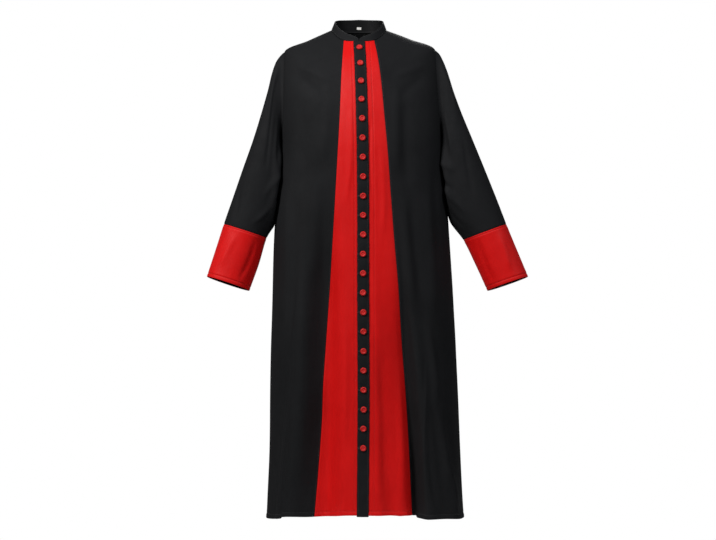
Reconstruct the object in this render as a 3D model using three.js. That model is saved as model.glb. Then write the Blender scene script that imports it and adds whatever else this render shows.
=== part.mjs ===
// A pulpit robe, hollow, as it hangs on a wearer's shoulders: black side fronts and back, two red front
// gores, a black placket with covered buttons, a band collar, set-in sleeves and deep red cuffs.
// Millimetres, +Z up. The wearer faces -Y, so the wearer's left is +X. The origin is in the middle of
// the neck, level with the inner ends of the shoulder seams.
import * as THREE from "three";

// ---- Driving sizes ----
const CLOTH = 2; // wall of the robe's cloth
const COLLAR_CLOTH = 2.6; // two layers with an interlining
const PLACKET = { width: 32, cloth: 1.8, top: 1.5, drop: 3.5 }; // drop: how far it hangs below the gores
const SEAM_GAP = 0.3; // between neighbouring pieces
const BUTTONS = { count: 22, first: 25.6, pitch: 54.2, radius: 8.8, height: 5, stand: 0.5 };
const LABEL = { cloth: 0.8, half: 0.014, top: 0.56, bottom: 0.74 }; // shares of the collar's length and height
const BLACK = { color: 0x1b1c1e, roughness: 0.85, metalness: 0 };
const RED = { color: 0xc01c1e, roughness: 0.7, metalness: 0 };
const WHITE = { color: 0xf2f2f0, roughness: 0.8, metalness: 0 };

// ---- The body: one row for each ring from the neck seam to the hem ----
// down: distance below the neck seam. middle: the ring's centre in X. half: half width. front, back:
// depth before and behind the shoulder line. sideZ, frontZ, backZ: height at the sides, centre front
// and centre back. square: 2 is an ellipse, more is squarer. placket: X of the placket's middle.
// gore: from there to each red gore's outer seam. tilt: how far the left side is raised. level: above 0,
// more of the front is as low as its middle.
const RINGS = [
  ["down", "middle", "half", "front", "back", "sideZ", "frontZ", "backZ", "square", "placket", "gore", "tilt", "level"],
[0, 0, 80, 74, 62, 1, -42, 3, 2, 0.5, 44, 0, 0.96],
  [75, 1, 148, 109, 86, -27, -99, -38, 1.85, 3.5, 50, 2, 0.24],
  [150, 2, 219, 132, 103, -58.5, -165, -97, 1.6, 6, 56, 3, 0],
  [245, 5, 236, 146, 118, -183, -254, -206, 1.85, 8.5, 62, 1, 0],
  [345, 8, 234, 151, 125, -325, -350, -336, 2.15, 10.5, 69, 0, 0],
  [560, 8, 251, 149, 127, -555, -563, -557, 2.35, 12, 82, 0, 0],
  [785, 12, 262, 150, 134, -781, -785, -783, 2.4, 12, 98, 0, 0],
  [1015, 13.5, 270, 151, 147, -1013, -1012, -1013, 2.4, 13, 113.5, 0, 0],
  [1245, 16, 276, 151, 162, -1251, -1239, -1247, 2.4, 10, 129, 0, 0],
  [1395, 16, 282, 150, 173, -1409, -1380, -1398, 2.4, 8.5, 138, 0, 0],
];
const SHOULDER = 150; // the ring through the shoulder points
const UNDERARM = 345; // the ring through the underarm points
const HEM = 1395;
const ARMHOLE_DEGREES = { front: 20, back: 17 }; // how far the armhole cuts into the front and the back

// ---- Folds: one row for each ridge and valley, from the placket round to the centre back ----
// hem, top: place round the half, where 0 is the placket, 1 the gore's seam, 2 the side seam and 3 the
// centre back. from: ring where the fold starts. rise: how far it stands out at the hem.
const FOLDS = {
  left: [
    ["hem", "top", "from", "rise"],
    [0, 0, 700, 0],
    [0.3, 0.3, 760, 3],
    [0.54, 0.54, 600, -7],
    [0.84, 0.84, 700, 4],
    [1, 1, 420, -9],
    [1.055, 1.04, 480, -15],
    [1.17, 1.11, 560, 24],
    [1.36, 1.22, 640, 15],
    [1.52, 1.3, 640, 21],
    [1.78, 1.7, 700, 7],
    [2, 2, 700, 4],
    [2.18, 2.22, 480, -8],
    [2.37, 2.4, 420, 15],
    [2.55, 2.56, 380, -10],
    [2.73, 2.72, 300, 13],
    [2.88, 2.87, 300, -9],
    [3, 3, 300, 2],
  ],
  right: [
    ["hem", "top", "from", "rise"],
    [0, 0, 700, 0],
    [0.3, 0.3, 700, -2],
    [0.55, 0.55, 700, 4],
    [0.84, 0.84, 640, -3],
    [1, 1, 420, -3],
    [1.12, 1.1, 420, -7],
    [1.31, 1.29, 500, 6],
    [1.4, 1.345, 500, 0],
    [1.47, 1.39, 480, 15],
    [1.72, 1.68, 500, 5],
    [2, 2, 700, 0],
    [2.2, 2.22, 460, 11],
    [2.39, 2.38, 420, -9],
    [2.58, 2.57, 320, 16],
    [2.76, 2.74, 300, -11],
    [2.9, 2.89, 300, 8],
    [3, 3, 300, 2],
  ],
};
const FOLD_GROWTH = 1.3; // above 1, a fold opens faster towards the hem

// ---- The sleeves: one row for each ring from the armhole to the cuff's end ----
// outerX, outerZ: the ring's point away from the body. innerX, innerZ: its point next to the body.
// depth: half its depth in Y. middleY: its centre in Y. lift: how far its front is raised.
const SLEEVES = {
  right: [
    ["outerX", "outerZ", "innerX", "innerZ", "depth", "middleY", "lift"],
    [-217, -58.8, -226.3, -324.7, 58, -4, 0],
    [-229, -71.5, -229, -333, 58, -4, 0],
    [-240.5, -90, -230, -343, 59, -5, 0],
    [-252, -125, -231, -358, 61, -6, 0],
    [-262, -170, -232, -378, 63, -7, 0],
    [-278, -229, -234, -408, 66, -9, 0],
    [-304.5, -316, -238, -452, 68, -11, 0],
    [-335, -402.5, -241.5, -502, 68, -14, 0],
    [-364.5, -489, -247, -556, 66, -17, 1],
    [-389.5, -562, -267, -602, 64, -20, 2],
    [-413, -637, -288, -677, 62, -26, 4],
    [-437, -713, -315, -753, 60.5, -33, 6],
  ],
  left: [
    ["outerX", "outerZ", "innerX", "innerZ", "depth", "middleY", "lift"],
    [221, -55.8, 242.3, -324.7, 58, -4, 0],
    [233.5, -67.5, 245, -333, 58, -4, 0],
    [245, -90, 246, -343, 59, -5, 0],
    [257, -122, 247, -358, 61, -6, 0],
    [273, -175, 248, -378, 63, -7, 0],
    [292, -229, 250, -408, 66, -9, 0],
    [327.5, -316, 254, -452, 68, -11, 0],
    [363, -402.5, 257.5, -502, 68, -14, 0],
    [397.5, -489, 268.5, -552, 66, -17, 1],
    [425.5, -562, 303, -608, 64, -20, 2],
    [456, -638, 337, -680, 62, -26, 4],
    [486.5, -713, 370, -753, 60.5, -33, 6],
  ],
};
const CUFF_RING = 9; // row of SLEEVES where the cuff is sewn on
const LAST_RING = 11;
const CUFF_INSET = 0.0022; // half the seam gap, in rings
const SLEEVE_INSET = 0.99; // how much of the armhole's width the sleeve's edge fills
const ARMHOLE_BLEND = 5; // rings over which the armhole's outline turns into the sleeve's oval

// ---- The collar's top edge, and how its front ends are shaped ----
const COLLAR_TOP = { middle: 0.6, half: 70.5, front: 68, back: 57, square: 2.3 };
const COLLAR_EDGE = [
  ["degrees", "z"],
  [0, -27],
  [15, -24],
  [32, -15],
  [50, -3],
  [65, 9],
  [80, 20],
  [92, 27],
  [108, 32],
  [135, 37],
  [180, 41],
];
const COLLAR_LIFT = 0.6; // clearance over the neck seam, whose edge is faceted
const COLLAR_END = { gap: 0.4, round: 16, low: 0.3 }; // degrees, and the share of the height left at the end

// ---- How finely the walls are divided ----
const YOKE_ROWS = [0, 16, 36, 60, 90, 122];
const ARMHOLE_STEPS = 10; // rows from the shoulder to the underarm, met by the sleeve's columns
const SKIRT_ROWS = [400, 470, 560, 660, 760, 865, 970, 1075, 1180, 1290, HEM];
const COLUMN_WIDTH = 36; // the widest column at the hem
const SLEEVE_COLUMNS = 2 * ARMHOLE_STEPS;
const SLEEVE_STEPS = [0, 0.5, 1, 1.5, 2, 2.5, 3, 4, 5, 6, 7, 8];
const CUFF_STEPS = [9.6, 10.3, LAST_RING];
const COLLAR_COLUMNS = 42;
const BUTTON_SIDES = 14;
const RING_STEPS = 1080; // points on one and a half turns of a body ring

const radians = THREE.MathUtils.degToRad;
const mix = THREE.MathUtils.lerp;
const clamp = THREE.MathUtils.clamp;

// ---- Reading the tables ----
// A column's value between two rows, on a curve that never swings past them. place counts rows, or is a
// value of the column named by.
function valueAt(table, column, place, by) {
  const rows = table.slice(1);
  const last = rows.length - 1;
  const at = (i) => (by ? rows[i][table[0].indexOf(by)] : i);
  const value = (i) => rows[i][table[0].indexOf(column)];
  const steepness = (i) => (value(i + 1) - value(i)) / (at(i + 1) - at(i));
  const slope = (i) => {
    const before = steepness(Math.max(i - 1, 0));
    const after = steepness(Math.min(i, last - 1));
    return before * after > 0 ? (2 * before * after) / (before + after) : 0;
  };
  let i = 0;
  while (i < last - 1 && place > at(i + 1)) i++;
  const span = at(i + 1) - at(i);
  const u = clamp((place - at(i)) / span, 0, 1);
  const start = value(i) * (1 + 2 * u) + span * slope(i) * u;
  const end = value(i + 1) * (3 - 2 * u) - span * slope(i + 1) * (1 - u);
  return start * (1 - u) ** 2 + end * u ** 2;
}

function rowAt(table, place, by) {
  return Object.fromEntries(table[0].map((name) => [name, valueAt(table, name, place, by)]));
}

// ---- The body's rings ----
// A point of a ring's outline: angle 0 is the centre front and a quarter turn is the wearer's left.
function outline(row, angle) {
  const power = 2 / row.square;
  const across = Math.sign(Math.sin(angle)) * Math.abs(Math.sin(angle)) ** power;
  const forward = Math.sign(Math.cos(angle)) * Math.abs(Math.cos(angle)) ** power;
  const ahead = forward > 0;
  let share = Math.cos(angle) ** 2;
  if (ahead) share += row.level * share * (1 - share);
  const z = mix(row.sideZ, ahead ? row.frontZ : row.backZ, share);
  return new THREE.Vector3(
    row.middle + row.half * across,
    -forward * (ahead ? row.front : row.back),
    z + row.tilt * across,
  );
}

// The armhole's depth at a ring, as a share of its widest: it is round at the shoulder and the underarm.
function armholeShare(down) {
  const u = (down - SHOULDER) / (UNDERARM - SHOULDER);
  return u > 0 && u < 1 ? Math.sqrt(1 - (2 * u - 1) ** 2) : 0;
}

// A ring with its outline from the centre back round the front to the wearer's right side, the distance
// along that from the centre front, and the distances of its seams.
const rings = new Map();
function ringAt(down) {
  if (rings.has(down)) return rings.get(down);
  const row = rowAt(RINGS, down, "down");
  const angleAt = (i) => -Math.PI + (i / RING_STEPS) * 3 * Math.PI;
  const points = Array.from({ length: RING_STEPS + 1 }, (_, i) => outline(row, angleAt(i)));
  const along = [0];
  for (let i = 1; i <= RING_STEPS; i++) along.push(along[i - 1] + points[i].distanceTo(points[i - 1]));
  const distance = (angle) => {
    const place = ((angle + Math.PI) / (3 * Math.PI)) * RING_STEPS;
    const i = Math.min(Math.floor(place), RING_STEPS - 1);
    return mix(along[i], along[i + 1], place - i);
  };
  const ahead = (x) => {
    const share = (x - row.middle) / row.half;
    return distance(Math.sign(share) * Math.asin(Math.abs(share) ** (row.square / 2)));
  };
  const cut = armholeShare(down);
  const side = Math.PI / 2;
  const front = radians(ARMHOLE_DEGREES.front) * cut;
  const back = radians(ARMHOLE_DEGREES.back) * cut;
  const seams = {
    middle: ahead(row.placket),
    goreLeft: ahead(row.placket + row.gore),
    goreRight: ahead(row.placket - row.gore),
    frontLeft: distance(side - front),
    frontRight: distance(front - side),
    backLeft: distance(side + back),
    centreBack: distance(Math.PI),
    backRight: distance(3 * side - back),
  };
  const ring = { points, along, seams };
  rings.set(down, ring);
  return ring;
}

// ---- Folds ----
const opened = (down, from) => clamp((down - from) / (HEM - from), 0, 1);
const foldPlace = ([hem, top, from], down) => mix(top, hem, opened(down, from));

// How far a half's cloth stands out at a place: the folds' ridges and valleys as they are on this ring.
function foldRise(side, down, place) {
  const rows = FOLDS[side].slice(1).map((fold) => {
    const [, , from, rise] = fold;
    return [foldPlace(fold, down), rise * opened(down, from) ** FOLD_GROWTH];
  });
  return valueAt([["place", "rise"], ...rows], "rise", place, "place");
}

// The body's surface at a distance along a ring, moved out level by its fold.
function bodyPoint(down, distance, side, place) {
  const { points, along } = ringAt(Math.min(down, HEM));
  let low = 0;
  let high = RING_STEPS;
  while (high - low > 1) {
    const half = (low + high) >> 1;
    if (along[half] > distance) high = half;
    else low = half;
  }
  const share = (distance - along[low]) / (along[high] - along[low]);
  const point = points[low].clone().lerp(points[high], share);
  const along2 = points[Math.min(high + 1, RING_STEPS)].clone().sub(points[Math.max(low - 1, 0)]);
  const outward = new THREE.Vector3(along2.y, -along2.x, 0).normalize();
  point.addScaledVector(outward, foldRise(side, Math.min(down, HEM), place));
  point.z -= Math.max(down - HEM, 0);
  return point;
}

// ---- Surfaces: point(v, u) with u from 0 to 1, and the range of v ----
// A body panel between two seams, less half a seam gap at each edge. Its folds' places run from
// firstPlace to lastPlace.
function bodyPanel(side, firstSeam, lastSeam, firstPlace, lastPlace) {
  const point = (down, u) => {
    const { seams } = ringAt(Math.min(down, HEM));
    const turn = Math.sign(seams[lastSeam] - seams[firstSeam]);
    const start = seams[firstSeam] + (turn * SEAM_GAP) / 2;
    const end = seams[lastSeam] - (turn * SEAM_GAP) / 2;
    return bodyPoint(down, mix(start, end, u), side, mix(firstPlace, lastPlace, u));
  };
  return { point, first: 0, last: HEM, step: 0.5 };
}

// The back, from the left side seam round the centre back to the right one.
const backPanel = {
  first: 0,
  last: HEM,
  step: 0.5,
  point(down, u) {
    const { backLeft, centreBack, backRight } = ringAt(down).seams;
    if (u < 0.5) {
      return bodyPoint(down, mix(backLeft + SEAM_GAP / 2, centreBack, 2 * u), "left", 2 + 2 * u);
    }
    const distance = mix(centreBack, backRight - SEAM_GAP / 2, 2 * u - 1);
    return bodyPoint(down, distance, "right", 4 - 2 * u);
  },
};

// The strip of the fronts that the placket lies on, from its right edge to its left edge.
const placketStrip = {
  first: 0,
  last: HEM + PLACKET.drop,
  step: 0.5,
  point(down, u) {
    const { middle, goreLeft, goreRight } = ringAt(Math.min(down, HEM)).seams;
    const offset = (u - 0.5) * PLACKET.width;
    const side = offset > 0 ? "left" : "right";
    const width = offset > 0 ? goreLeft - middle : middle - goreRight;
    return bodyPoint(down, middle + offset, side, Math.abs(offset) / width);
  },
};

// The collar, from its top edge at v = 0 to its seam at v = 1.
const collarBand = {
  first: 0,
  last: 1,
  step: 0.01,
  point(v, u) {
    const end = radians(COLLAR_END.gap);
    const angle = mix(end, 2 * Math.PI - end, u);
    const fromEnd = Math.min(angle, 2 * Math.PI - angle) - end;
    const round = 1 - clamp(fromEnd / radians(COLLAR_END.round), 0, 1);
    const height = mix(COLLAR_END.low, 1, Math.sqrt(1 - round ** 2));
    const seam = outline(rowAt(RINGS, 0, "down"), angle);
    seam.z += COLLAR_LIFT;
    const degrees = THREE.MathUtils.radToDeg(Math.min(angle, 2 * Math.PI - angle));
    const top = valueAt(COLLAR_EDGE, "z", degrees, "degrees");
    const edge = outline({ ...COLLAR_TOP, sideZ: top, frontZ: top, backZ: top, tilt: 0, level: 0 }, angle);
    return seam.clone().lerp(edge, height * (1 - v));
  },
};

// A point of the armhole's edge, just inside the hole. turn is 0 at the shoulder, a quarter at the
// front, a half at the underarm.
function armholeEdge(side, turn) {
  const along = (1 - Math.cos(turn)) / 2;
  const down = mix(SHOULDER + SEAM_GAP, UNDERARM - SEAM_GAP, along);
  const ahead = Math.sin(turn) > 0;
  const widest = radians(ahead ? ARMHOLE_DEGREES.front : -ARMHOLE_DEGREES.back) * SLEEVE_INSET;
  return { down, angle: side * (Math.PI / 2 - widest * Math.abs(Math.sin(turn))), outward: along };
}

// The outward direction of the body's plain surface.
function bodyNormal(down, angle) {
  const at = (row, turn) => outline(rowAt(RINGS, row, "down"), turn);
  const lengthwise = at(down + 1, angle).sub(at(down - 1, angle));
  const round = at(down, angle + 0.01).sub(at(down, angle - 0.01));
  return lengthwise.cross(round).normalize();
}

// A sleeve's ring: an oval through its outer and inner points, which starts as the armhole's outline.
function sleeveTube(name) {
  const side = name === "left" ? 1 : -1;
  const table = SLEEVES[name];
  const oval = (v, turn) => {
    const row = rowAt(table, v);
    const outer = new THREE.Vector3(row.outerX, row.middleY, row.outerZ);
    const inner = new THREE.Vector3(row.innerX, row.middleY, row.innerZ);
    const point = outer.clone().lerp(inner, (1 - Math.cos(turn)) / 2);
    point.y -= row.depth * Math.sin(turn);
    point.z += row.lift * Math.sin(turn);
    return point;
  };
  const turnAt = (u) => -side * 2 * Math.PI * u;
  const point = (v, u) => {
    const turn = turnAt(u);
    const edge = armholeEdge(side, turn);
    const start = outline(rowAt(RINGS, edge.down, "down"), edge.angle);
    start.x += side * SEAM_GAP * edge.outward;
    const left = 1 - THREE.MathUtils.smoothstep(v, 0, ARMHOLE_BLEND);
    return oval(v, turn).addScaledVector(start.sub(oval(0, turn)), left);
  };
  const lean = (v, u, normal) => {
    const edge = armholeEdge(side, turnAt(u));
    const share = (1 - clamp(v, 0, 1)) * (1 - edge.outward);
    return normal.lerp(bodyNormal(edge.down, edge.angle), share).normalize();
  };
  return { point, lean, first: 0, last: LAST_RING, step: 0.02 };
}

// ---- Walls ----
function normalAt(surface, v, u) {
  const { point, first, last, step, lean } = surface;
  const lengthwise = point(Math.min(v + step, last), u).sub(point(Math.max(v - step, first), u));
  const round = point(v, Math.min(u + 0.002, 1)).sub(point(v, Math.max(u - 0.002, 0)));
  const normal = lengthwise.cross(round).normalize();
  return lean ? lean(v, u, normal) : normal;
}

// A closed wall on a surface between two depths along its outward direction. columns(v) lists each
// column's u, and round joins the last column to the first.
function wall(surface, rows, columns, inner, outer, round = false) {
  const positions = [];
  for (const depth of [outer, inner]) {
    for (const v of rows) {
      for (const u of columns(v)) {
        const point = surface.point(v, u).addScaledVector(normalAt(surface, v, u), depth);
        positions.push(point.x, point.y, point.z);
      }
    }
  }
  const count = columns(rows[0]).length;
  const at = (layer, i, j) => (layer * rows.length + i) * count + (j % count);
  const index = [];
  const quad = (a, b, c, d) => index.push(a, b, c, a, c, d);
  const lastRow = rows.length - 1;
  const lastColumn = round ? count : count - 1;
  for (let j = 0; j < lastColumn; j++) {
    for (let i = 0; i < lastRow; i++) {
      quad(at(0, i, j), at(0, i + 1, j), at(0, i + 1, j + 1), at(0, i, j + 1));
      quad(at(1, i, j), at(1, i, j + 1), at(1, i + 1, j + 1), at(1, i + 1, j));
    }
    quad(at(0, 0, j), at(0, 0, j + 1), at(1, 0, j + 1), at(1, 0, j));
    quad(at(0, lastRow, j), at(1, lastRow, j), at(1, lastRow, j + 1), at(0, lastRow, j + 1));
  }
  for (let i = 0; i < lastRow && !round; i++) {
    quad(at(0, i, 0), at(1, i, 0), at(1, i + 1, 0), at(0, i + 1, 0));
    const j = lastColumn;
    quad(at(0, i, j), at(0, i + 1, j), at(1, i + 1, j), at(1, i, j));
  }
  const geometry = new THREE.BufferGeometry();
  geometry.setAttribute("position", new THREE.Float32BufferAttribute(positions, 3));
  geometry.setIndex(index);
  return geometry;
}

const evenly = (count) => Array.from({ length: count + 1 }, (_, i) => i / count);
const armholeRows = evenly(ARMHOLE_STEPS).map((u) => {
  return mix(SHOULDER, UNDERARM, (1 - Math.cos(u * Math.PI)) / 2);
});
const BODY_ROWS = [...YOKE_ROWS, ...armholeRows, ...SKIRT_ROWS];

// The places of a half's columns between two seams, on a ring: each fold's line has one, with more
// between folds that lie far apart.
function foldColumns(side, first, last, width) {
  const folds = FOLDS[side].slice(1).filter(([hem]) => hem >= first && hem <= last);
  return (down) => {
    const places = [first];
    for (let i = 1; i < folds.length; i++) {
      const parts = Math.ceil(((folds[i][0] - folds[i - 1][0]) * width) / COLUMN_WIDTH);
      const start = foldPlace(folds[i - 1], down);
      const end = foldPlace(folds[i], down);
      for (let k = 1; k <= parts; k++) {
        places.push(mix(start, end, (1 - Math.cos((k / parts) * Math.PI)) / 2));
      }
    }
    return places;
  };
}

// ---- Pieces ----
const robe = new THREE.Group();
function add(name, geometry, finish) {
  const mesh = new THREE.Mesh(geometry, new THREE.MeshStandardMaterial(finish));
  mesh.name = name;
  robe.add(mesh);
  return mesh;
}

const hemSeams = ringAt(HEM).seams;
const SIDE_WIDTH = hemSeams.frontLeft - hemSeams.goreLeft;
const BACK_WIDTH = hemSeams.centreBack - hemSeams.backLeft;

for (const side of ["left", "right"]) {
  const isLeft = side === "left";
  const ordered = (list) => (isLeft ? list : [...list].reverse());

  // The gore runs under the placket to the centre, with a column under the placket's edge.
  const goreSeam = isLeft ? "goreLeft" : "goreRight";
  const goreFolds = foldColumns(side, 0, 1, RINGS.at(-1)[RINGS[0].indexOf("gore")]);
  const goreColumns = (down) => {
    const { middle, [goreSeam]: edge } = ringAt(down).seams;
    const placketEdge = PLACKET.width / 2 / Math.abs(edge - middle);
    const columns = [0, placketEdge, ...goreFolds(down).slice(2)];
    return ordered(columns.map((place) => (isLeft ? place : 1 - place)));
  };
  const gore = isLeft ? bodyPanel(side, "middle", goreSeam, 0, 1) : bodyPanel(side, goreSeam, "middle", 1, 0);
  add(`red_panel_${side}`, wall(gore, BODY_ROWS, goreColumns, -CLOTH, 0), RED);

  const frontSeam = isLeft ? "frontLeft" : "frontRight";
  const frontFolds = foldColumns(side, 1, 2, SIDE_WIDTH);
  const frontColumns = (down) => ordered(frontFolds(down).map((place) => (isLeft ? place - 1 : 2 - place)));
  const front = isLeft ? bodyPanel(side, goreSeam, frontSeam, 1, 2) : bodyPanel(side, frontSeam, goreSeam, 2, 1);
  add(`front_${side}`, wall(front, BODY_ROWS, frontColumns, -CLOTH, 0), BLACK);
}

const backLeftFolds = foldColumns("left", 2, 3, BACK_WIDTH);
const backRightFolds = foldColumns("right", 2, 3, BACK_WIDTH);
const backColumns = (down) => [
  ...backLeftFolds(down).map((place) => (place - 2) / 2),
  ...backRightFolds(down).map((place) => (4 - place) / 2).reverse().slice(1),
];
add("back", wall(backPanel, BODY_ROWS, backColumns, -CLOTH, 0), BLACK);

const placketRows = [PLACKET.top, ...BODY_ROWS.slice(1), HEM + PLACKET.drop];
const onPanel = SEAM_GAP + PLACKET.cloth;
add("placket", wall(placketStrip, placketRows, () => [0, 0.5, 1], SEAM_GAP, onPanel), BLACK);

const collarColumns = evenly(COLLAR_COLUMNS);
add("collar", wall(collarBand, evenly(3), () => collarColumns, -COLLAR_CLOTH, 0), BLACK);
const labelColumns = [0.5 - LABEL.half, 0.5, 0.5 + LABEL.half];
const labelOut = -COLLAR_CLOTH - SEAM_GAP;
const labelRows = [LABEL.top, LABEL.bottom];
add("neck_label", wall(collarBand, labelRows, () => labelColumns, labelOut - LABEL.cloth, labelOut), WHITE);

// Sleeves and cuffs share each tube, with the seam's gap between them.
const tubeColumns = evenly(SLEEVE_COLUMNS).slice(0, -1);
for (const side of ["left", "right"]) {
  const tube = sleeveTube(side);
  const sleeveRows = [...SLEEVE_STEPS, CUFF_RING - CUFF_INSET];
  add(`sleeve_${side}`, wall(tube, sleeveRows, () => tubeColumns, -CLOTH, 0, true), BLACK);
  const cuffRows = [CUFF_RING + CUFF_INSET, ...CUFF_STEPS];
  add(`cuff_${side}`, wall(tube, cuffRows, () => tubeColumns, -CLOTH, 0, true), RED);
}

// Covered buttons: a low dome with a rolled edge and a shallow dish.
const { radius, height } = BUTTONS;
const buttonProfile = [
  [0, 0],
  [0.84, 0],
  [1, 0.3],
  [0.93, 0.72],
  [0.66, 1],
  [0, 0.9],
].map(([out, up]) => new THREE.Vector2(out * radius, up * height));
let down = PLACKET.top; // at each button, after its pitch is measured along the cloth
let toGo = BUTTONS.first;
for (let i = 0; i < BUTTONS.count; i++) {
  while (toGo > 0) {
    toGo -= placketStrip.point(down, 0.5).distanceTo(placketStrip.point(down + 0.5, 0.5));
    down += 0.5;
  }
  toGo += BUTTONS.pitch;
  const geometry = new THREE.LatheGeometry(buttonProfile, BUTTON_SIDES);
  const button = add(`button_${String(i + 1).padStart(2, "0")}`, geometry, RED);
  const outward = normalAt(placketStrip, down, 0.5);
  button.position.copy(placketStrip.point(down, 0.5)).addScaledVector(outward, onPanel + BUTTONS.stand);
  button.quaternion.setFromUnitVectors(new THREE.Vector3(0, 1, 0), outward);
}

export default robe;
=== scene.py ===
"""A pulpit robe, filled out as worn: shells of cloth on the frame's solids, with folds, seams and sewing.

Lengths are in millimetres in the frame's axes (+Z up, the front faces -Y, the wearer's left is +X) and are
scaled to metres when a mesh is made. Only the materials and the lights are given in metres.
"""
import math

import bpy
import numpy as np
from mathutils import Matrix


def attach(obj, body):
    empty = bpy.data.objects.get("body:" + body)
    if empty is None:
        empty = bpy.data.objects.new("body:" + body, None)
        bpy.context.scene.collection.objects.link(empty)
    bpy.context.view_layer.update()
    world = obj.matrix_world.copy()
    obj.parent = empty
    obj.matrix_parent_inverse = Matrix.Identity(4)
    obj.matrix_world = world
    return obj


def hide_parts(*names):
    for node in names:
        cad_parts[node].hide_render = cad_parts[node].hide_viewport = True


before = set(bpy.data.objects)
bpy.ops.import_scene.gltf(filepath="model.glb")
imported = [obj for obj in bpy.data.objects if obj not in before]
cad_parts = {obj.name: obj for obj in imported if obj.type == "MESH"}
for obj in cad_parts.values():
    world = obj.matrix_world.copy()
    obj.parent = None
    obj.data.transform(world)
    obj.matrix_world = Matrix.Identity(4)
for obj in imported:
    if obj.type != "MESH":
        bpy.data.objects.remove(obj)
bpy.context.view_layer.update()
MM = 0.001

# ---- Driving sizes ----
CLOTH = 1.6
COLLAR_CLOTH = 2.6
LABEL_CLOTH = 0.5
PLACKET_CLOTH = 1.8
PLACKET_WIDTH = 32
PLACKET_DROP = 3.5  # how far the placket hangs below the gores
SEAM_GAP = 0.2  # between neighbouring pieces
LAYER_GAP = 0.3  # between a piece and the one that it lies on
PLACKET_OUTER = LAYER_GAP + PLACKET_CLOTH
LABEL_OUTER = -COLLAR_CLOTH - LAYER_GAP
LABEL_INNER = LABEL_OUTER - LABEL_CLOTH
BUTTON_COUNT = 22
FIRST_BUTTON = 25.6  # along the cloth, from the placket's top
BUTTON_PITCH = 54.2
BUTTON_RADIUS = 8.8
BUTTON_HEIGHT = 5.0
BUTTON_STAND = 2.6  # from the front's cloth to the button's underside
STITCH = {"length": 2.6, "pitch": 3.4, "radius": 0.28}

# ---- The body's rings, from the neck seam to the hem ----
# down: distance below the neck seam. middle, half: centre and half width in X. front, back: depths.
# sideZ, frontZ, backZ: heights. square: 2 is an ellipse. placket: X of the placket's middle. gore: from
# there to the gore's outer seam. tilt: how far the left side is raised. level: above 0, more of the
# front is as low as its middle.
RING_NAMES = "down middle half front back sideZ frontZ backZ square placket gore tilt level".split()
RING_ROWS = [
    [0, 0, 80, 74, 62, 1, -42, 3, 2, 0.5, 44, 0, 0.96],
    [75, 1, 148, 109, 86, -27, -99, -38, 1.85, 3.5, 50, 2, 0.24],
    [150, 2, 219, 132, 103, -58.5, -165, -97, 1.6, 6, 56, 3, 0],
    [245, 5, 236, 146, 118, -183, -254, -206, 1.85, 8.5, 62, 1, 0],
    [345, 8, 234, 151, 125, -325, -350, -336, 2.15, 10.5, 69, 0, 0],
    [560, 8, 251, 149, 127, -555, -563, -557, 2.35, 12, 83.5, 0, 0],
    [785, 12, 262, 150, 134, -781, -785, -783, 2.4, 12, 103, 0, 0],
    [1015, 13.5, 270, 151, 147, -1013, -1012, -1013, 2.4, 13, 121.5, 0, 0],
    [1245, 16, 276, 151, 162, -1251, -1239, -1247, 2.4, 12, 136.5, 0, 0],
    [1395, 16, 282, 150, 173, -1409, -1380, -1398, 2.4, 11, 146, 0, 0],
]
GORES_LEFT = 2.4  # how far both outer seams lean to the left in the skirt
SHOULDER = 150  # distances below the neck seam
UNDERARM = 345
HEM = 1395
ARMHOLE_FRONT = math.radians(20)  # the armhole's half widths, ahead of the side and behind it
ARMHOLE_BACK = math.radians(17)

# ---- The large folds: hem and top places (0 placket, 1 gore seam, 2 side seam, 3 centre back), how far
# below the neck seam each starts, and how far it stands out at the hem ----
FOLDS = {
    "left": [
        [0, 0, 700, 0],
        [0.3, 0.3, 760, 3],
        [0.54, 0.54, 600, -7],
        [0.84, 0.84, 700, 4],
        [1, 1, 420, -9],
        [1.065, 1.045, 480, -13],
        [1.15, 1.11, 560, 20],
        [1.36, 1.22, 640, 15],
        [1.52, 1.3, 640, 21],
        [1.78, 1.7, 700, 7],
        [2, 2, 700, 4],
        [2.18, 2.22, 480, -8],
        [2.37, 2.4, 420, 15],
        [2.55, 2.56, 380, -10],
        [2.73, 2.72, 300, 13],
        [2.88, 2.87, 300, -9],
        [3, 3, 300, 2],
    ],
    "right": [
        [0, 0, 700, 0],
        [0.3, 0.3, 700, -2],
        [0.55, 0.55, 700, 4],
        [0.84, 0.84, 640, -3],
        [1, 1, 420, -3],
        [1.12, 1.1, 420, -7],
        [1.31, 1.29, 500, 6],
        [1.4, 1.345, 500, 4],
        [1.47, 1.39, 480, 11],
        [1.72, 1.68, 500, 5],
        [2, 2, 700, 0],
        [2.2, 2.22, 460, 11],
        [2.39, 2.38, 420, -9],
        [2.58, 2.57, 320, 16],
        [2.76, 2.74, 300, -11],
        [2.9, 2.89, 300, 8],
        [3, 3, 300, 2],
    ],
}
FOLD_GROWTH = 1.3  # above 1, folds open more slowly at first
CREASE_BOW = 0.03  # a share of a crease's length
MOST_BOW = 9
# The shares of a crease's length over which it fades: at its first end, and at its second end with one
# half width or with two.
CREASE_FADE = (0.35, 0.3, 0.02)

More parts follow.
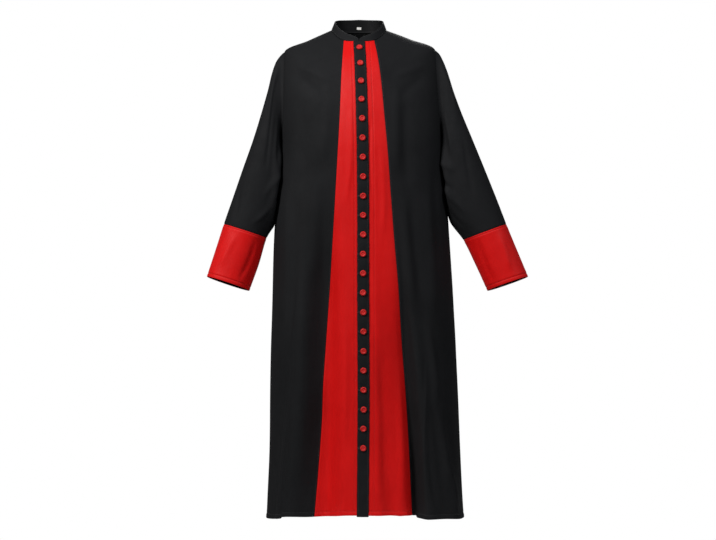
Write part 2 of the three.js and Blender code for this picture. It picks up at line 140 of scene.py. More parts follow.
# ---- Creases in the cloth: X and Z of their ends, half width, and how far they stand out (troughs are
# negative). Two half widths, towards -X and +X, make a fold with one steep side, which runs to its end ----
FRONT_CREASES = [
    # the right front: the narrow ridge to the hem's step, the broad fold, and the troughs by the gore
    [-155, -560, -221, -1412, 7, 34, 6],
    [-152, -640, -176, -1412, 24, 11],
    [-106, -430, -82, -1412, 42, 34, -38],
    [-118, -1000, -126, -1412, 30, 34, -18],
    [-205, -900, -236, -1412, 16, -4],
    # the left front: the steep fold to the hem's step, and the hollow inside it
    [190, -900, 170, -1412, 4, 22, 3.4],
    [176, -960, 158, -1412, 9, 5, -2.4],
    # shoulders and chest
    [-186, -104, -70, -170, 15, 4],
    [-178, -138, -96, -206, 13, -3.2],
    [-92, -150, -114, -430, 22, 6],
    [-142, -190, -150, -520, 20, -4.4],
    [204, -98, 84, -150, 14, 3],
    [190, -140, 110, -215, 13, -2.6],
    [96, -130, 98, -450, 18, 4.6],
    [132, -170, 146, -520, 18, -4.2],
    # the right front's lesser folds
    [-126, -430, -140, -760, 18, 5],
    [-168, -360, -186, -900, 18, -4.4],
    [-206, -420, -216, -1000, 16, 4],
    [-188, -1000, -196, -1390, 9, 3],
    # the left front's folds
    [112, -480, 170, -1412, 9, 9, -2.4],
    [112, -700, 169, -1412, 50, 25, -25],
    [112, -470, 152, -820, 17, 6],
    [138, -760, 186, -1300, 14, 4],
    [150, -440, 176, -800, 16, -4.2],
    [190, -420, 206, -900, 17, 4],
    [222, -350, 232, -700, 13, -3],
    [184, -820, 214, -1100, 11, 5.4],
    [200, -1030, 246, -1340, 11, 6],
    [240, -1230, 268, -1400, 9, 5],
    [184, -1030, 218, -1400, 11, -5],
    [248, -940, 262, -1250, 10, -3],
    # the gores
    [36, -240, 42, -520, 6, -2.6],
    [56, -300, 66, -620, 9, 2.4],
    [34, -620, 44, -900, 8, -2.4],
    [62, -860, 80, -1385, 18, -6],
    [112, -980, 120, -1400, 14, 5],
    [44, -900, 50, -1380, 11, 3.4],
    [-26, -200, -36, -520, 8, 2.4],
    [-56, -520, -70, -880, 11, -2.6],
    [-44, -820, -52, -1250, 13, 4],
    [-80, -1080, -88, -1385, 10, 3.2],
]
BACK_CREASES = [
    [-176, -96, -92, -190, 16, 4.4],
    [-186, -150, -120, -270, 14, -3.7],
    [180, -92, 96, -180, 15, 3.7],
    [192, -150, 118, -290, 14, -4.1],
    [-60, -250, -84, -640, 20, 5.1],
    [-18, -330, -26, -760, 16, -4.1],
    [40, -270, 56, -700, 20, 4.8],
    [100, -360, 116, -820, 16, -4.4],
    [-128, -380, -150, -860, 18, -4.8],
    [150, -480, 176, -960, 17, 4.4],
    [-180, -500, -204, -1020, 15, 4.1],
    [-226, -420, -236, -820, 12, -3.7],
    [226, -430, 244, -860, 12, -3.4],
    [-96, -700, -112, -1300, 13, 4.4],
    [8, -640, 12, -1200, 14, 4.1],
    [84, -820, 96, -1390, 12, 4.1],
    [-40, -860, -46, -1390, 12, -4.4],
    [200, -900, 222, -1390, 12, -4.4],
    [-220, -940, -236, -1390, 11, 4.1],
    [150, -1080, 158, -1390, 10, -4.1],
]

# ---- The sleeves' rings, from the armhole to the cuff's end ----
# outerX to innerZ: the ends of a ring's long axis, for the right sleeve and then the left. For both, depth
# and middleY: the ring's half width and centre in Y. lift: how far its front is raised.
SLEEVE_ENDS = ("outerX", "outerZ", "innerX", "innerZ")
SLEEVE_NAMES = [f"{side} {end}" for side in ("right", "left") for end in SLEEVE_ENDS]
SLEEVE_NAMES += ["depth", "middleY", "lift"]
SLEEVES = [
    [-217, -58.8, -226.3, -324.7, 221, -55.8, 242.3, -324.7, 50, -4, 0],
    [-229, -71.5, -227.6, -333, 233.5, -67.5, 243, -333, 47, -4, 0],
    [-240.5, -90, -228, -343, 245, -90, 243, -343, 48, -5, 0],
    [-252, -125, -228, -358, 257, -122, 242.8, -358, 52, -6, 0],
    [-262, -170, -228, -378, 273, -175, 242.8, -378, 57, -7, 0],
    [-278, -229, -228, -408, 292, -229, 243.2, -408, 63, -9, 0],
    [-304.5, -316, -229.5, -452, 327.5, -316, 246, -452, 68, -11, 0],
    [-335, -402.5, -234, -502, 363, -402.5, 250, -502, 68, -14, 0],
    [-364.5, -489, -240.5, -556, 397.5, -489, 262, -552, 66, -17, 1],
    [-389.5, -562, -266, -602, 425.5, -562, 302, -608, 64, -20, 2],
    [-413, -637, -288, -677, 456, -638, 337, -680, 62, -26, 4],
    [-437, -713, -315, -753, 486.5, -713, 370, -753, 60.5, -33, 6],
]
CUFF_RING = 9
LAST_RING = 11
ARMHOLE_BLEND = 5  # the ring by which a sleeve has left the armhole's shape
SLEEVE_HEAD = 0.62  # the section at the top: 1 is an oval, and less is fuller
OVAL_FROM = 6  # the section turns into an oval from this ring, over three rings
# Creases on a sleeve: ring and turn of their ends (a quarter turn is the front), half width, height.
SLEEVE_CREASES = {
    "right": [
        [0, 0.41, 8.4, 0.40, 18, 13],
        [0.4, 0.12, 5, 0.20, 13, 3.9],
        [1.6, 0.30, 6.4, 0.38, 12, 4.5],
        [3.6, 0.20, 6.4, 0.27, 11, -3],
        [0.6, 0.86, 5.2, 0.76, 13, 3.6],
        [2.2, 0.64, 6.8, 0.60, 12, 3.9],
        [5.2, 0.44, 7.4, 0.30, 9, 3.6],
        [5.8, 0.46, 8, 0.34, 7, -3],
        [6.8, 0.44, 8.8, 0.28, 8, 3.3],
        [6.2, 0.56, 8, 0.72, 8, 3.3],
        [7.4, 0.10, 8.9, 0.16, 9, -2.4],
        [7, 0.90, 8.8, 0.80, 9, -2.7],
        [9.1, 0.22, 10.6, 0.17, 9, 2.7],
        [9.1, 0.36, 10.9, 0.33, 8, -3],
        [9.1, 0.60, 10.8, 0.64, 9, 2.7],
        [9.1, 0.86, 10.6, 0.88, 9, -2.4],
    ],
    "left": [
        [0, 0.41, 8.4, 0.40, 18, 13],
        [0.5, 0.14, 4.8, 0.10, 13, 3.6],
        [1.8, 0.28, 5.6, 0.30, 12, 3.3],
        [0.8, 0.82, 5.6, 0.74, 13, 3.3],
        [2.6, 0.62, 6.6, 0.64, 12, 3.6],
        [4.2, 0.45, 6.2, 0.30, 9, 3.9],
        [4.9, 0.47, 7, 0.33, 7, -3.6],
        [5.8, 0.46, 8.2, 0.30, 9, 3.9],
        [6.7, 0.45, 8.7, 0.36, 7, -3],
        [5.4, 0.16, 7.8, 0.24, 10, -3],
        [5.8, 0.54, 7.8, 0.70, 8, 3.3],
        [7.2, 0.88, 8.8, 0.80, 9, -2.7],
        [9.1, 0.18, 10.7, 0.22, 10, 2.7],
        [9.1, 0.33, 10.9, 0.37, 8, -3.3],
        [9.1, 0.58, 10.8, 0.62, 9, 2.7],
        [9.1, 0.84, 10.6, 0.82, 9, -2.4],
    ],
}

# ---- The collar ----
COLLAR_TOP = {"middle": 0.6, "half": 70.5, "front": 68, "back": 57, "square": 2.3, "tilt": 0, "level": 0}
COLLAR_DEGREES = [0, 15, 32, 50, 65, 80, 92, 108, 135, 180]  # from the centre front
COLLAR_EDGE = [-27, -24, -15, -3, 9, 20, 27, 32, 37, 41]  # the top edge's height there
COLLAR_LIFT = 0.5  # over the neck seam
COLLAR_END = 0.4  # degrees from the centre front to the collar's end
COLLAR_ROUND = 16  # degrees over which the end is rounded
COLLAR_LOW = 0.3  # the share of the height left at the end
LABEL_SHARES = (0.486, 0.514)  # the neck label's edges, as shares of the collar's length and height
LABEL_HEIGHTS = (0.56, 0.74)


# ---- Curves and tables ----
def curve(at, value, place):
    """A smooth curve through the values that never swings past them."""
    steep = np.diff(value) / np.diff(at)
    before = np.concatenate([steep[:1], steep])
    after = np.concatenate([steep, steep[-1:]])
    same = before * after > 0
    slope = np.where(same, 2 * before * after / np.where(same, before + after, 1), 0)
    i = np.clip(np.searchsorted(at, place, side="right") - 1, 0, len(at) - 2)
    span = at[i + 1] - at[i]
    u = np.clip((place - at[i]) / span, 0, 1)
    start = value[i] * (1 + 2 * u) + span * slope[i] * u
    end = value[i + 1] * (3 - 2 * u) - span * slope[i + 1] * (1 - u)
    return start * (1 - u) ** 2 + end * u**2


def row_at(names, rows, place, by=None):
    """A table's values at a place in its column named by, or else at a row number."""
    columns = dict(zip(names, np.array(rows, float).T))
    at = columns[by] if by else np.arange(len(rows), dtype=float)
    return {name: curve(at, values, place) for name, values in columns.items()}


def ring_row(down):
    return row_at(RING_NAMES, RING_ROWS, down, "down")


def smooth(u):
    """A step from 0 to 1 with level ends."""
    u = np.clip(u, 0, 1)
    return u * u * (3 - 2 * u)


def signed_power(value, power):
    return np.sign(value) * np.abs(value) ** power


def unit(vectors):
    """Vectors of length one in the same directions."""
    return vectors / np.maximum(np.linalg.norm(vectors, axis=-1, keepdims=True), 1e-9)


def along_line(points):
    """How far along a line each of its points is."""
    return np.append(0, np.cumsum(np.linalg.norm(np.diff(points, axis=0), axis=1)))


def outline(row, angle):
    """Points of a ring: angle 0 is the centre front, a quarter turn is the wearer's left."""
    power = 2 / row["square"]
    across = signed_power(np.sin(angle), power)
    forward = signed_power(np.cos(angle), power)
    ahead = forward > 0
    depth = np.where(ahead, row["front"], row["back"])
    share = np.cos(angle) ** 2
    share = np.where(ahead, share + row["level"] * share * (1 - share), share)
    z = row["sideZ"] + (np.where(ahead, row["frontZ"], row["backZ"]) - row["sideZ"]) * share
    x = row["middle"] + row["half"] * across
    return np.stack(np.broadcast_arrays(x, -forward * depth, z + row["tilt"] * across), axis=-1)


# ---- The body's surface ----
ANGLES = np.linspace(-np.pi, 2 * np.pi, 1621)


class Rings:
    """Outlines of the body at a list of distances below the neck seam, with their seams' places."""

    def __init__(self, down):
        self.down = np.asarray(down, float)
        row = {name: value[:, None] for name, value in ring_row(np.minimum(self.down, HEM)).items()}
        self.points = outline(row, ANGLES[None, :])
        steps = np.linalg.norm(np.diff(self.points, axis=1), axis=2)
        self.along = np.concatenate([np.zeros((len(self.down), 1)), np.cumsum(steps, axis=1)], axis=1)
        tangent = np.gradient(self.points, axis=1)
        self.outward = unit(np.stack([tangent[..., 1], -tangent[..., 0]], axis=-1))
        share = (2 * self.down - SHOULDER - UNDERARM) / (UNDERARM - SHOULDER)
        cut = np.sqrt(np.clip(1 - share**2, 0, None))
        side = math.pi / 2
        flat = {name: value[:, 0] for name, value in row.items()}

        def ahead(x):
            part = (x - flat["middle"]) / flat["half"]
            return np.sign(part) * np.arcsin(np.abs(part) ** (flat["square"] / 2))

        lean = GORES_LEFT * smooth((self.down - 800) / 400)
        gores = flat["placket"] + lean
        angles = {
            "middle": ahead(flat["placket"]),
            "gore_left": ahead(gores + flat["gore"]),
            "gore_right": ahead(gores - flat["gore"]),
            "front_left": side - ARMHOLE_FRONT * cut,
            "front_right": ARMHOLE_FRONT * cut - side,
            "back_left": side + ARMHOLE_BACK * cut,
            "centre_back": np.full_like(cut, math.pi),
            "back_right": 3 * side - ARMHOLE_BACK * cut,
        }
        self.seams = {name: self.read(self.along, value) for name, value in angles.items()}

    def read(self, table, angle):
        """Each ring's value of a table at its own angle."""
        return np.array([np.interp(angle[i], ANGLES, table[i]) for i in range(len(self.down))])

    def at(self, distance):
        """Points and level outward directions at distances along each ring."""
        points = np.empty(distance.shape + (3,))
        outward = np.empty(distance.shape + (2,))
        for i in range(len(self.down)):
            for k in range(3):
                points[i, :, k] = np.interp(distance[i], self.along[i], self.points[i, :, k])
            for k in range(2):
                outward[i, :, k] = np.interp(distance[i], self.along[i], self.outward[i, :, k])
        points[..., 2] -= np.maximum(self.down - HEM, 0)[:, None]
        return points, outward


def fold_rise(side, down, place):
    """How far a half's cloth stands out at each ring and place."""
    folds = np.array(FOLDS[side], float)
    rise = np.empty_like(place)
    for i, distance in enumerate(np.minimum(down, HEM)):
        opened = np.clip((distance - folds[:, 2]) / (HEM - folds[:, 2]), 0, 1)
        places = folds[:, 1] + (folds[:, 0] - folds[:, 1]) * opened
        rise[i] = curve(places, folds[:, 3] * opened**FOLD_GROWTH, place[i])
    return rise


def crease_rise(creases, x, z):
    """Soft ridges and troughs along lines, which fade out at their ends.

    A crease with one half width bows a little. One with two is straight and runs on to its second end.
    """
    rise = np.zeros(np.broadcast(x, z).shape)
    for x1, z1, x2, z2, *widths, height in creases:
        length = math.hypot(x2 - x1, z2 - z1)
        ux, uz = (x2 - x1) / length, (z2 - z1) / length
        t = ((x - x1) * ux + (z - z1) * uz) / length
        aside = (x - x1) * uz - (z - z1) * ux
        last_fade = CREASE_FADE[2]
        if len(widths) == 1:
            bow = min(CREASE_BOW * length, MOST_BOW)
            aside = aside + bow * np.sin(math.pi * t) * math.copysign(1, height)
            last_fade = CREASE_FADE[1]
        fade = smooth(t / CREASE_FADE[0]) * smooth((1 - t) / last_fade)
        width = np.where(aside > 0, widths[0], widths[-1])
        rise += height * fade * np.exp(-((aside / width) ** 2))
    return rise


def slack(a, b, size):
    """Faint unevenness of hanging cloth over a flat pattern of a by b millimetres."""
    waves = np.sin(a / 61 + 1.7 * np.sin(b / 190)) * np.sin(b / 143 + 0.9 * np.sin(a / 88))
    finer = np.sin(a / 23 + b / 210 + 1.3 * np.sin(b / 71)) * np.sin(b / 97 + a / 150 + 2.1)
    return size * (0.65 * waves + 0.35 * finer)


def grid_normals(points, wraps=False):
    """Outward directions of a grid of points, which may close on itself across its columns."""
    if wraps:
        padded = np.concatenate([points[:, -1:], points, points[:, :1]], axis=1)
        across = (padded[:, 2:] - padded[:, :-2]) / 2
    else:
        across = np.gradient(points, axis=1)
    return unit(np.cross(np.gradient(points, axis=0), across))


# ---- How finely the body is divided ----
# A grid is a panel's columns, and the width that the close columns by its seams are worked out for.
NEAR_SEAM = (1.0, 2.4, 4.4)
GORE_GRID = (46, 110)
FRONT_GRID = (112, 240)
BACK_HALF_WIDTH = 320
ARMHOLE_DOWN = SHOULDER + (UNDERARM - SHOULDER) * (1 - np.cos(np.linspace(0, math.pi, 41))) / 2
HEM_DOWN = HEM - np.array([36, 31, 27, 22, 17, 14, 12, 10, 7, 4, 1.5, 0])
SKIRT_DOWN = np.arange(UNDERARM + 6, HEM - 38, 6.0)
BODY_DOWN = np.concatenate([np.arange(0, SHOULDER - 2, 6.0), ARMHOLE_DOWN, SKIRT_DOWN, HEM_DOWN])

# ---- Seams, stitches and hem ----
SEAM_DIP = 1.1  # how far cloth turns in at a seam, and over what width
SEAM_WIDTH = 2.2
# Where the front's hem changes height: the X where a change starts, how far it takes to reach its full
# size, and how much lower the hem then hangs. The short ones are the steps at the two steep folds.
HEM_CHANGES = [
    [-218, -2, 3.8],
    [-146, -64, -6.4],
    [162, 2, 6.6],
    [112, 24, -2.8],
    [170, 110, -7],
]
TROUGH_DROP = 0.16  # how far the hem hangs down in a trough, as a share of the trough's depth
HEM_STITCH = 12  # from the hem to its stitches
PLACKET_STITCH = {"right": 24, "left": 31}  # from the placket's middle to the stitches beside it
CUFF_STITCHES = (5, 10)  # from the cuff's seam and from its end


def seam_dip(from_seam):
    """Cloth turns in at a seam."""
    return -SEAM_DIP * np.exp(-((from_seam / SEAM_WIDTH) ** 2))


def hem_kick(down):
    """The turned-up hem stands out a little and is drawn in along its stitches."""
    above = HEM - down
    return 1.5 * smooth((24 - above) / 20) - 1.3 * np.exp(-(((above - HEM_STITCH) / 2.4) ** 2))


def stitched(from_line):
    """Cloth is drawn in along a row of stitches, with a faint rise on each side."""
    return 0.45 * np.exp(-((from_line / 5) ** 2)) - 1.3 * np.exp(-((from_line / 1.9) ** 2))


def hem_drop(x, y, down, rise):
    """How much lower the cloth hangs at the front, near the hem."""
    drop = sum(lower * smooth((x - start) / reach) for start, reach, lower in HEM_CHANGES)
    drop -= TROUGH_DROP * np.minimum(rise, 0)
    return drop * smooth((down - 1180) / 200) * smooth(-y / 20)


class Panel:
    """A stretch of the body between two seams.

    side is the half that its folds come from, places are its edges' places among the folds, and dips are
    the shares of a full seam's dip at its two edges.
    """

    def __init__(self, side, seams, places, creases=FRONT_CREASES, dips=(1, 1)):
        self.side = side
        self.seam_names = seams
        self.places = places
        self.creases = creases
        self.dips = dips

    def points(self, share):
        """Points at the body's rows and at shares from seam to seam, and each row's width."""
        rings = Rings(BODY_DOWN)
        start, end = (rings.seams[name] for name in self.seam_names)
        width = (end - start)[:, None]
        distance = start[:, None] + SEAM_GAP / 2 + (width - SEAM_GAP) * share
        place = self.places[0] + (self.places[1] - self.places[0]) * share
        points, outward = rings.at(distance)
        rise = fold_rise(self.side, rings.down, np.broadcast_to(place, distance.shape))
        creased = crease_rise(self.creases, points[..., 0], points[..., 2])
        rise += creased
        rows = rings.down[:, None]
        rise += slack(distance, rows, 0.9) * smooth((rows - 20) / 120)
        for dip, from_seam, name in zip(self.dips, (share * width, (1 - share) * width), self.seam_names):
            rise += seam_dip(from_seam) * dip
            if name == "middle":
                pucker = 1 + 0.45 * np.sin(rows / 1.9 + 2 * np.sin(rows / 31))
                rise += stitched(from_seam - PLACKET_STITCH[self.side]) * pucker
        rise += hem_kick(rows)
        points[..., :2] += outward * rise[..., None]
        points[..., 2] -= hem_drop(points[..., 0], points[..., 1], rows, creased)
        return points, distance[:, -1] - distance[:, 0]


# ---- Cloth grids ----
class Cloth:
    """A surface as a grid of points: rows run down, columns run towards the wearer's left at the front.

    share places each column from 0 to 1, down places each row, and width is each row's flat width.
    """

    def __init__(self, down, share, points, width, wraps=False, normals=None):
        self.down = np.asarray(down, float)
        self.share = np.asarray(share, float)
        self.points = points
        self.width = width
        self.wraps = wraps
        self.normals = grid_normals(points, wraps) if normals is None else normals

    def at(self, down, share):
        """The point and outward direction at a place between the grid's own."""
        count = len(self.share)
        rows = np.interp(down, self.down, np.arange(len(self.down)))
        i = min(int(rows), len(self.down) - 2)
        if self.wraps:
            columns = share % 1.0 * count
            j = min(int(columns), count - 1)
        else:
            columns = np.interp(share, self.share, np.arange(count))
            j = min(int(columns), count - 2)
        after = (j + 1) % count
        u, v = columns - j, rows - i
        found = []
        for table in (self.points, self.normals):
            upper = table[i, j] * (1 - u) + table[i, after] * u
            lower = table[i + 1, j] * (1 - u) + table[i + 1, after] * u
            found.append(upper * (1 - v) + lower * v)
        return found[0], unit(found[1])

    def width_at(self, down):
        """The flat width at a distance down."""
        return float(np.interp(down, self.down, self.width))


def new_object(name, vertices, faces, material, smooth_faces=True):
    """An object from a mesh in millimetres."""
    mesh = bpy.data.meshes.new(name)
    mesh.from_pydata((np.asarray(vertices) * MM).tolist(), [], faces)
    mesh.polygons.foreach_set("use_smooth", [smooth_faces] * len(mesh.polygons))
    mesh.materials.append(material)
    made = bpy.data.objects.new(name, mesh)
    bpy.context.scene.collection.objects.link(made)
    return made


def set_uv(made, uv):
    """Flat-pattern coordinates in metres, which lay the weave along the cloth."""
    mesh = made.data
    corners = np.empty(len(mesh.loops), dtype=np.int32)
    mesh.loops.foreach_get("vertex_index", corners)
    layer = mesh.uv_layers.new(name="pattern")
    layer.data.foreach_set("uv", (np.asarray(uv) * MM)[corners].ravel())


def shell(name, cloth, material, inner, outer, inside_shade):
    """A closed wall between two depths of a cloth grid, with rounded edges, and dark painted shade on its
    inner face.
    """
    rows, columns = cloth.points.shape[:2]
    middle = (inner + outer) / 2
    bulge = abs(outer - inner) * 0.42
    points, normals = cloth.points, cloth.normals
    flat_across = cloth.share[None, :] * cloth.width[:, None]
    flat = np.stack(np.broadcast_arrays(flat_across, cloth.down[:, None]), axis=-1)
    vertices = [(points + normals * outer).reshape(-1, 3), (points + normals * inner).reshape(-1, 3)]
    uv = [flat.reshape(-1, 2), flat.reshape(-1, 2)]
    size = rows * columns
    faces = []

    def quads(a, b, c, d):
        faces.extend(np.stack([a.ravel(), b.ravel(), c.ravel(), d.ravel()], axis=1).tolist())

    index = np.arange(size).reshape(rows, columns)
    left, right = (index, np.roll(index, -1, axis=1)) if cloth.wraps else (index[:, :-1], index[:, 1:])
    quads(left[:-1], left[1:], right[1:], right[:-1])
    quads(left[:-1] + size, right[:-1] + size, right[1:] + size, left[1:] + size)

    def border(line, inward):
        """An edge of the wall: a mid line pushed out a little, between the two layers."""
        edge = points.reshape(-1, 3)[line]
        out = unit(edge - points.reshape(-1, 3)[inward])
        start = sum(len(block) for block in vertices)
        vertices.append(edge + normals.reshape(-1, 3)[line] * middle + out * bulge)
        uv.append(flat.reshape(-1, 2)[line])
        mid = start + np.arange(len(line))
        if cloth.wraps:
            line, mid = np.append(line, line[0]), np.append(mid, mid[0])
        quads(line[:-1], line[1:], mid[1:], mid[:-1])
        quads(mid[:-1], mid[1:], line[1:] + size, line[:-1] + size)

    border(index[0], index[1])
    border(index[-1][::-1], index[-2][::-1])
    if not cloth.wraps:
        border(index[::-1, 0], index[::-1, 1])
        border(index[:, -1], index[:, -2])
    made = new_object(name, np.concatenate(vertices), faces, material)
    set_uv(made, np.concatenate(uv))
    # The inner faces take a darker copy of the black twill: painted shade inside the robe.
    if inside_shade is not None:
        made.data.materials.append(inside_shade)
        finish = np.zeros(len(faces), dtype=np.int32)
        finish[left[:-1].size : 2 * left[:-1].size] = 1
        made.data.polygons.foreach_set("material_index", finish)
    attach(made, "root")
    return made


def edged(count, width):
    """Shares from 0 to 1 of a width, with a few close columns by each edge, where a seam turns in."""
    inner = np.linspace(0, 1, count + 1)[1:-1]
    close = np.array(NEAR_SEAM) / width
    inner = inner[(inner > close[-1] * 1.3) & (inner < 1 - close[-1] * 1.3)]
    return np.concatenate([[0], close, inner, 1 - close[::-1], [1]])


def body_cloth(panel, grid):
    """One panel between two seams."""
    share = edged(*grid)
    points, width = panel.points(share)
    return Cloth(BODY_DOWN, share, points, width)


def back_cloth():
    """The back: the left half's panel and the right half's, joined at the centre back."""
    close = np.array(NEAR_SEAM) / BACK_HALF_WIDTH
    part = np.concatenate([[0], close, np.linspace(0.03, 1, 62)])
    left = Panel("left", ("back_left", "centre_back"), (2, 3), BACK_CREASES, (0.4, 0))
    right = Panel("right", ("centre_back", "back_right"), (3, 2), BACK_CREASES, (0, 0.4))
    left_points, left_width = left.points(part)
    right_points, right_width = right.points(1 - part[::-1])
    share = np.concatenate([part / 2, 1 - part[-2::-1] / 2])
    points = np.concatenate([left_points, right_points[:, 1:]], axis=1)
    return Cloth(BODY_DOWN, share, points, left_width + right_width)


def placket_cloth():
    """The strip over the gores' edges, drawn in at each button and puffed a little between, and how far
    down each button lies."""
    down = np.append(np.arange(1.5, HEM - 2, 4.0), [HEM - 1, HEM + 1.4, HEM + PLACKET_DROP])
    offset = PLACKET_WIDTH / 2 * np.array([-1, -0.94, -0.84, -0.6, -0.3, 0, 0.3, 0.6, 0.84, 0.94, 1])
    rings = Rings(down)
    middle = rings.seams["middle"][:, None]
    points, outward = rings.at(middle + offset[None, :])
    rise = np.zeros(points.shape[:2])
    for side, part in (("right", offset <= 0), ("left", offset > 0)):
        width = np.abs(rings.seams["gore_" + side][:, None] - middle)
        rise[:, part] = fold_rise(side, rings.down, np.abs(offset[None, part]) / width)
    rows = down[:, None]
    rise += crease_rise(FRONT_CREASES, points[..., 0], points[..., 2])
    rise += slack(middle + offset[None, :], rows, 0.9) * smooth((rows - 20) / 120)
    along = along_line(rings.at(middle)[0][:, 0])
    turn = ((along - FIRST_BUTTON) / BUTTON_PITCH)[:, None]
    between = 0.5 - 0.5 * np.cos(2 * math.pi * turn)
    edge = np.abs(offset[None, :]) / (PLACKET_WIDTH / 2)
    lean = np.sin(1.9 * np.floor(turn) + 0.6)
    puff = (1.5 + 0.6 * lean) * np.exp(-(((offset[None, :] / 16 + 0.35 * lean) / 0.75) ** 2))
    rise += between * puff * (1 - 0.55 * edge**2)
    rise += 0.5 * between * edge**4 * np.sin(0.11 * rows + offset[None, :])
    points[..., :2] += outward * rise[..., None]
    share = (offset + PLACKET_WIDTH / 2) / PLACKET_WIDTH
    cloth = Cloth(down, share, points, np.full(len(down), float(PLACKET_WIDTH)))
    return cloth, np.interp(FIRST_BUTTON + BUTTON_PITCH * np.arange(BUTTON_COUNT), along, down)


# ---- Sleeves ----
# How far a sleeve's first two rows reach into the armhole, and how far they lie under the body's cloth.
TUCK_IN = (7.0, 2.0)
TUCK_UNDER = (3.0, 1.8)


def sleeve_lengths(side):
    """How far each ring is from the armhole along the sleeve's middle."""
    row = row_at(SLEEVE_NAMES, SLEEVES, np.arange(len(SLEEVES)))
    middle = [(row[f"{side} outer{axis}"] + row[f"{side} inner{axis}"]) / 2 for axis in "XZ"]
    return along_line(np.stack(middle, axis=1))


def tube_points(side, v, u):
    """The sleeve's surface at rings v (a column) and shares u (a row) of the way round."""
    sign = 1 if side == "left" else -1
    turn = -sign * 2 * math.pi * u
    row = {name: value[:, None] for name, value in row_at(SLEEVE_NAMES, SLEEVES, v).items()}
    along = (1 - np.cos(turn)) / 2

    def oval(ring, full):
        outer_x, outer_z, inner_x, inner_z = (ring[f"{side} {end}"] for end in SLEEVE_ENDS)
        x = outer_x + (inner_x - outer_x) * along
        z = outer_z + (inner_z - outer_z) * along + ring["lift"] * np.sin(turn)
        y = ring["middleY"] - ring["depth"] * signed_power(np.sin(turn), full)
        return np.stack(np.broadcast_arrays(x, y, z), axis=-1)

    down = SHOULDER + SEAM_GAP + (UNDERARM - SHOULDER - 2 * SEAM_GAP) * along
    widest = np.where(np.sin(turn) > 0, ARMHOLE_FRONT, -ARMHOLE_BACK) * 0.995  # just inside the armhole
    angle = sign * (math.pi / 2 - widest * np.abs(np.sin(turn)))
    start = outline(ring_row(down), angle)
    start[:, 0] += sign * SEAM_GAP * along
    first = {name: value[:1] for name, value in row.items()}
    still_armhole = 1 - smooth(v / ARMHOLE_BLEND)[:, None, None]
    full = SLEEVE_HEAD + (1 - SLEEVE_HEAD) * smooth((v[:, None] - OVAL_FROM) / 3)
    return oval(row, full) + (start[None] - oval(first, full[:1])) * still_armhole


def sleeve_cloth(side, v, count, dips):
    """A sleeve or cuff. dips are the rings of its seams, where the cloth turns in."""
    sign = 1 if side == "left" else -1
    u = np.arange(count) / count
    points = tube_points(side, v, u)
    normals = grid_normals(points, wraps=True)
    lengths = sleeve_lengths(side)
    rings = np.arange(len(lengths))
    along = np.interp(v, rings, lengths)
    girth = np.linalg.norm(np.roll(points, -1, axis=1) - points, axis=2).sum(axis=1)
    mean_girth = girth.mean()
    turn = ((-sign * u) % 1.0)[None, :]
    rows = along[:, None]
    rise = np.zeros(points.shape[:2])
    for v1, t1, v2, t2, width, height in SLEEVE_CREASES[side]:
        z1, z2 = np.interp([v1, v2], rings, lengths)
        line = [t1 * mean_girth, z1, t2 * mean_girth, z2, width, height]
        for shift in (-1, 0, 1):
            rise += crease_rise([line], (turn + shift) * mean_girth, rows)
    level_turn = np.cos(2 * math.pi * turn)
    rise += slack(150 * level_turn + 40, rows, 0.8)
    below = 0.2 + 0.4 * (1 - level_turn)
    for dip in dips:
        share = below if dip == 0 else 1
        rise += share * seam_dip(rows - np.interp(dip, rings, lengths))
    if dips[0] > 0:
        rise += stitched(rows - rows[0] - CUFF_STITCHES[0]) + stitched(rows[-1] - rows - CUFF_STITCHES[1])
    points = points + normals * rise[..., None]
    if dips[0] == 0:
        points[:2, :, 0] -= sign * np.array(TUCK_IN)[:, None]
        points[:2] -= normals[:2] * (np.array(TUCK_UNDER)[:, None] * below)[..., None]
    return Cloth(along, u, points, girth, wraps=True)


# ---- The collar ----
def collar_points(v, angle):
    """The collar's surface: v runs from its top edge to its seam."""
    from_front = np.minimum(angle, 2 * math.pi - angle)
    end = math.radians(COLLAR_END)
    rounded = 1 - np.clip((from_front - end) / math.radians(COLLAR_ROUND), 0, 1)
    height = COLLAR_LOW + (1 - COLLAR_LOW) * np.sqrt(np.clip(1 - rounded**2, 0, None))
    row = {name: value[0] for name, value in ring_row(np.zeros(1)).items()}
    seam = outline(row, angle)
    seam[:, 2] += COLLAR_LIFT
    top = curve(np.array(COLLAR_DEGREES, float), np.array(COLLAR_EDGE, float), np.degrees(from_front))
    edge = outline(dict(COLLAR_TOP, sideZ=top, frontZ=top, backZ=top), angle)
    share = height[None, :] * (1 - v[:, None])
    return seam[None] + (edge - seam)[None] * share[..., None]


def collar_cloth():
    """The band collar, with close columns at its rounded ends."""
    close = np.radians([COLLAR_END, 0.9, 1.6, 2.6, 4, 6, 8.5, 11, 14, 17.4])
    round_neck = np.linspace(math.radians(20), math.radians(340), 118)
    angle = np.concatenate([close, round_neck, 2 * math.pi - close[::-1]])
    v = np.concatenate([[0, 0.02, 0.05], np.linspace(0.1, 0.9, 15), [0.95, 0.98, 1]])
    points = collar_points(v, angle)
    normals = grid_normals(points)
    rows = v[:, None]
    rise = slack(angle[None, :] * 70, rows * 60, 0.7) - np.exp(-(((1 - rows) * 60 / 3) ** 2))
    points = points + normals * rise[..., None]
    width = np.linalg.norm(np.diff(points, axis=1), axis=2).sum(axis=1)
    share = along_line(points[9])  # a row near the middle of its height
    height = np.linalg.norm(points[-1] - points[0], axis=1).max()
    return Cloth(v * height, share / share[-1], points, width)


